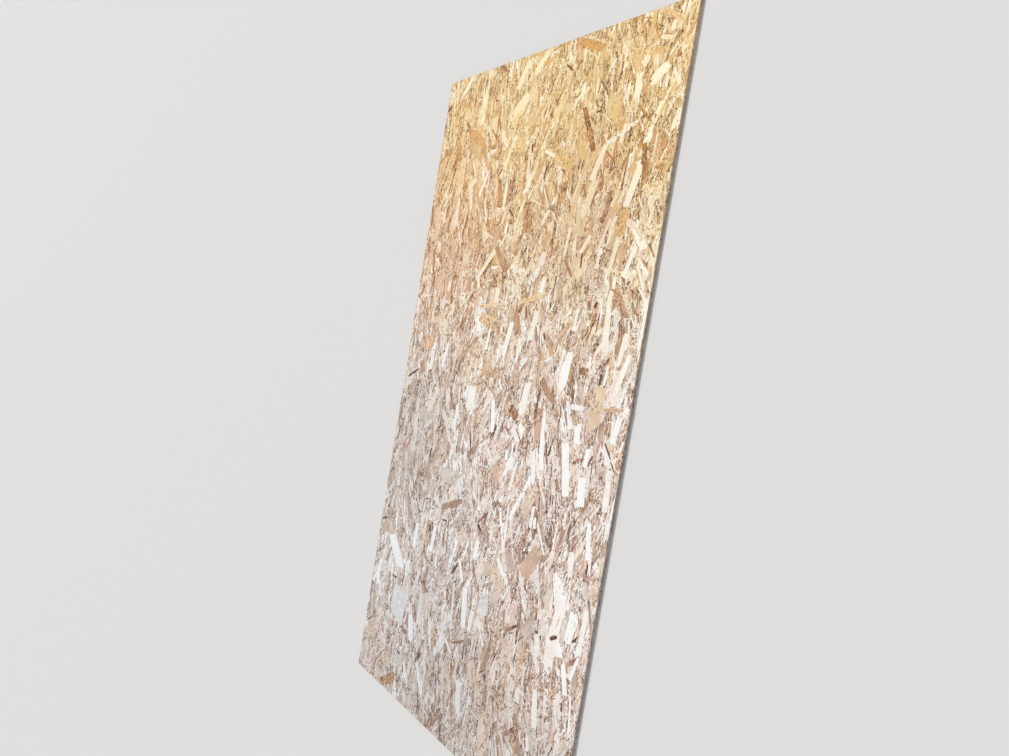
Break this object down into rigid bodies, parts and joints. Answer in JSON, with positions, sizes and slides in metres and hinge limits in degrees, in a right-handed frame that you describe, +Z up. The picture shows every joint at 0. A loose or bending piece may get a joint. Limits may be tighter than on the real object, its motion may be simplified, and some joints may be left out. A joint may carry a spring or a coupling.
{
  "type": "oriented strand board sheet",
  "caption": "Flat rectangular panel of pressed wood strands with square sawn edges, for sheathing walls, roofs and floors.",
  "frame": {"origin": "middle of the underside, on the floor that the sheet lies on", "axes": "+X across the short side, +Y along the long side towards the head, +Z up out of the pictured face"},
  "size_m": [1.2192, 2.4384, 0.0111],
  "materials": {
    "pressed_strands": "pale pressed wood strands, matt, with grey weathered sawn edges"
  },
  "bodies": {
    "root": {"sheet": "pressed_strands"}
  },
  "joints": []
}
